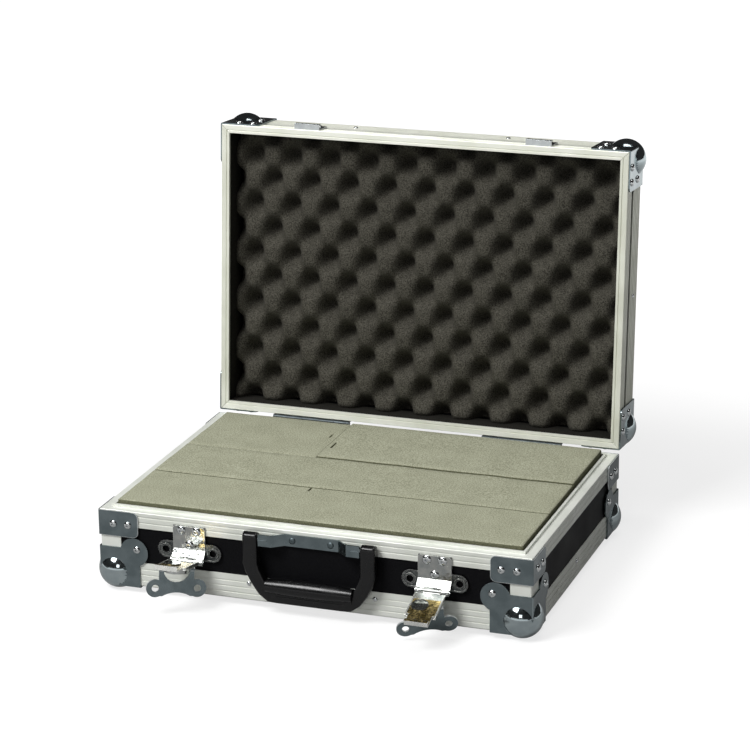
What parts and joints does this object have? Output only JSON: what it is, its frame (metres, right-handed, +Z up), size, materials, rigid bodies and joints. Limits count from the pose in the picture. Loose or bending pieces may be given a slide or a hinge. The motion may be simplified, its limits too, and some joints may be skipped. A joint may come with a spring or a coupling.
{
  "type": "microphone case",
  "caption": "Small flight case for microphones: black laminate panels, aluminium edging, ball corners, butterfly latches, foam inside, lid open.",
  "frame": {"origin": "The middle of the underside of the base panel; its ball corners reach 8.5 mm lower", "axes": "+X to the right as seen from the front, +Y to the hinges at the back, +Z up out of the base"},
  "size_m": [0.465, 0.4635, 0.4094],
  "materials": {
    "aluminium": "brushed, with rolled ribs",
    "zinc_steel": "dark zinc plated steel, satin",
    "bright_steel": "nickel plated, polished heads",
    "nickel": "bright nickel plate",
    "yellow_zinc": "yellow passivated zinc, satin",
    "laminate": "black laminate with a fine grain",
    "black_plastic": "black moulded plastic, satin",
    "base_foam": "grey-beige polyurethane foam, fine cells",
    "lid_foam": "charcoal polyurethane foam, egg-crate"
  },
  "bodies": {
    "base": {"base_bottom_panel": "laminate", "base_front_panel": "laminate", "base_back_panel": "laminate", "base_side_panels": "laminate", "base_rim_profile": "aluminium", "base_bottom_edging": "aluminium", "base_corner_edging": "aluminium", "base_ball_corners": "zinc_steel", "base_rim_braces": "zinc_steel", "base_ball_corner_rivets": "bright_steel", "base_brace_rivets": "bright_steel", "base_edging_rivets": "bright_steel", "foam_floor_pad": "base_foam", "foam_front_block": "base_foam", "foam_middle_block": "base_foam", "foam_back_left_block": "base_foam", "foam_back_right_block": "base_foam", "hinge_base_leaves": "zinc_steel", "hinge_pins": "bright_steel", "hinge_base_rivets": "bright_steel", "handle_strap": "zinc_steel", "handle_pins": "bright_steel", "handle_rivets": "bright_steel", "latch_left_base_plate": "nickel", "latch_left_body": "nickel", "latch_left_pin": "bright_steel", "latch_left_rivets": "bright_steel", "latch_right_base_plate": "nickel", "latch_right_body": "nickel", "latch_right_pin": "bright_steel", "latch_right_rivets": "bright_steel"},
    "lid": {"lid_top_panel": "laminate", "lid_front_panel": "laminate", "lid_back_panel": "laminate", "lid_side_panels": "laminate", "lid_rim_profile": "aluminium", "lid_top_edging": "aluminium", "lid_ball_corners": "zinc_steel", "lid_corner_rivets": "bright_steel", "lid_edging_rivets": "bright_steel", "lid_eggcrate_foam": "lid_foam", "lid_lining_strips": "lid_foam", "keeper_left": "nickel", "keeper_right": "nickel", "keeper_rivets": "bright_steel", "hinge_lid_leaves": "zinc_steel", "hinge_lid_rivets": "bright_steel"},
    "handle": {"handle_bail": "black_plastic"},
    "left_flap": {"latch_left_flap": "nickel"},
    "left_claw": {"latch_left_claw": "yellow_zinc"},
    "left_cam": {"latch_left_cam": "nickel", "latch_left_wing_pins": "bright_steel"},
    "left_wing": {"latch_left_wing": "nickel"},
    "right_flap": {"latch_right_flap": "nickel"},
    "right_claw": {"latch_right_claw": "yellow_zinc"},
    "right_cam": {"latch_right_cam": "nickel", "latch_right_wing_pins": "bright_steel"},
    "right_wing": {"latch_right_wing": "nickel"}
  },
  "joints": [
    {"name": "lid_hinge", "type": "hinge", "parent": "base", "child": "lid", "pos_m": [0, 0.1602, 0.0786], "axis": [1, 0, 0], "range_deg": [0, 94.5]},
    {"name": "handle_fold", "type": "hinge", "parent": "base", "child": "handle", "pos_m": [0.0014, -0.1642, 0.068], "axis": [-1, 0, 0], "range_deg": [0, 90]},
    {"name": "left_flap_hinge", "type": "hinge", "parent": "base", "child": "left_flap", "pos_m": [-0.128, -0.1658, 0.0361], "axis": [-1, 0, 0], "range_deg": [-27.8, 80.3]},
    {"name": "left_cam_twist", "type": "hinge", "parent": "left_flap", "child": "left_cam", "pos_m": [-0.128, -0.19044, 0.04031], "axis": [0, 0.1685, 0.9857], "range_deg": [-32, 23]},
    {"name": "left_claw_slide", "type": "slide", "parent": "left_flap", "child": "left_claw", "axis": [0, -0.9857, 0.1685], "range_m": [-0.00262, 0.00188]},
    {"name": "left_wing_fold", "type": "hinge", "parent": "left_cam", "child": "left_wing", "pos_m": [-0.128, -0.19098, 0.03716], "axis": [-0.848, -0.5223, 0.0893], "range_deg": [0, 90]},
    {"name": "right_flap_hinge", "type": "hinge", "parent": "base", "child": "right_flap", "pos_m": [0.128, -0.1658, 0.0361], "axis": [-1, 0, 0], "range_deg": [0, 108.1]},
    {"name": "right_cam_twist", "type": "hinge", "parent": "right_flap", "child": "right_cam", "pos_m": [0.128, -0.18956, 0.02833], "axis": [0, -0.3107, 0.9505], "range_deg": [-22, 33]},
    {"name": "right_claw_slide", "type": "slide", "parent": "right_flap", "child": "right_claw", "axis": [0, -0.9505, -0.3107], "range_m": [-0.0018, 0.0027]},
    {"name": "right_wing_fold", "type": "hinge", "parent": "right_cam", "child": "right_wing", "pos_m": [0.128, -0.18857, 0.02529], "axis": [-0.9272, -0.3561, -0.1164], "range_deg": [0, 90]}
  ],
  "couplings": [
    {"joint": "left_claw_slide", "follows": "left_cam_twist", "m_per_rad": 0.0046878},
    {"joint": "right_claw_slide", "follows": "right_cam_twist", "m_per_rad": 0.0046878}
  ]
}
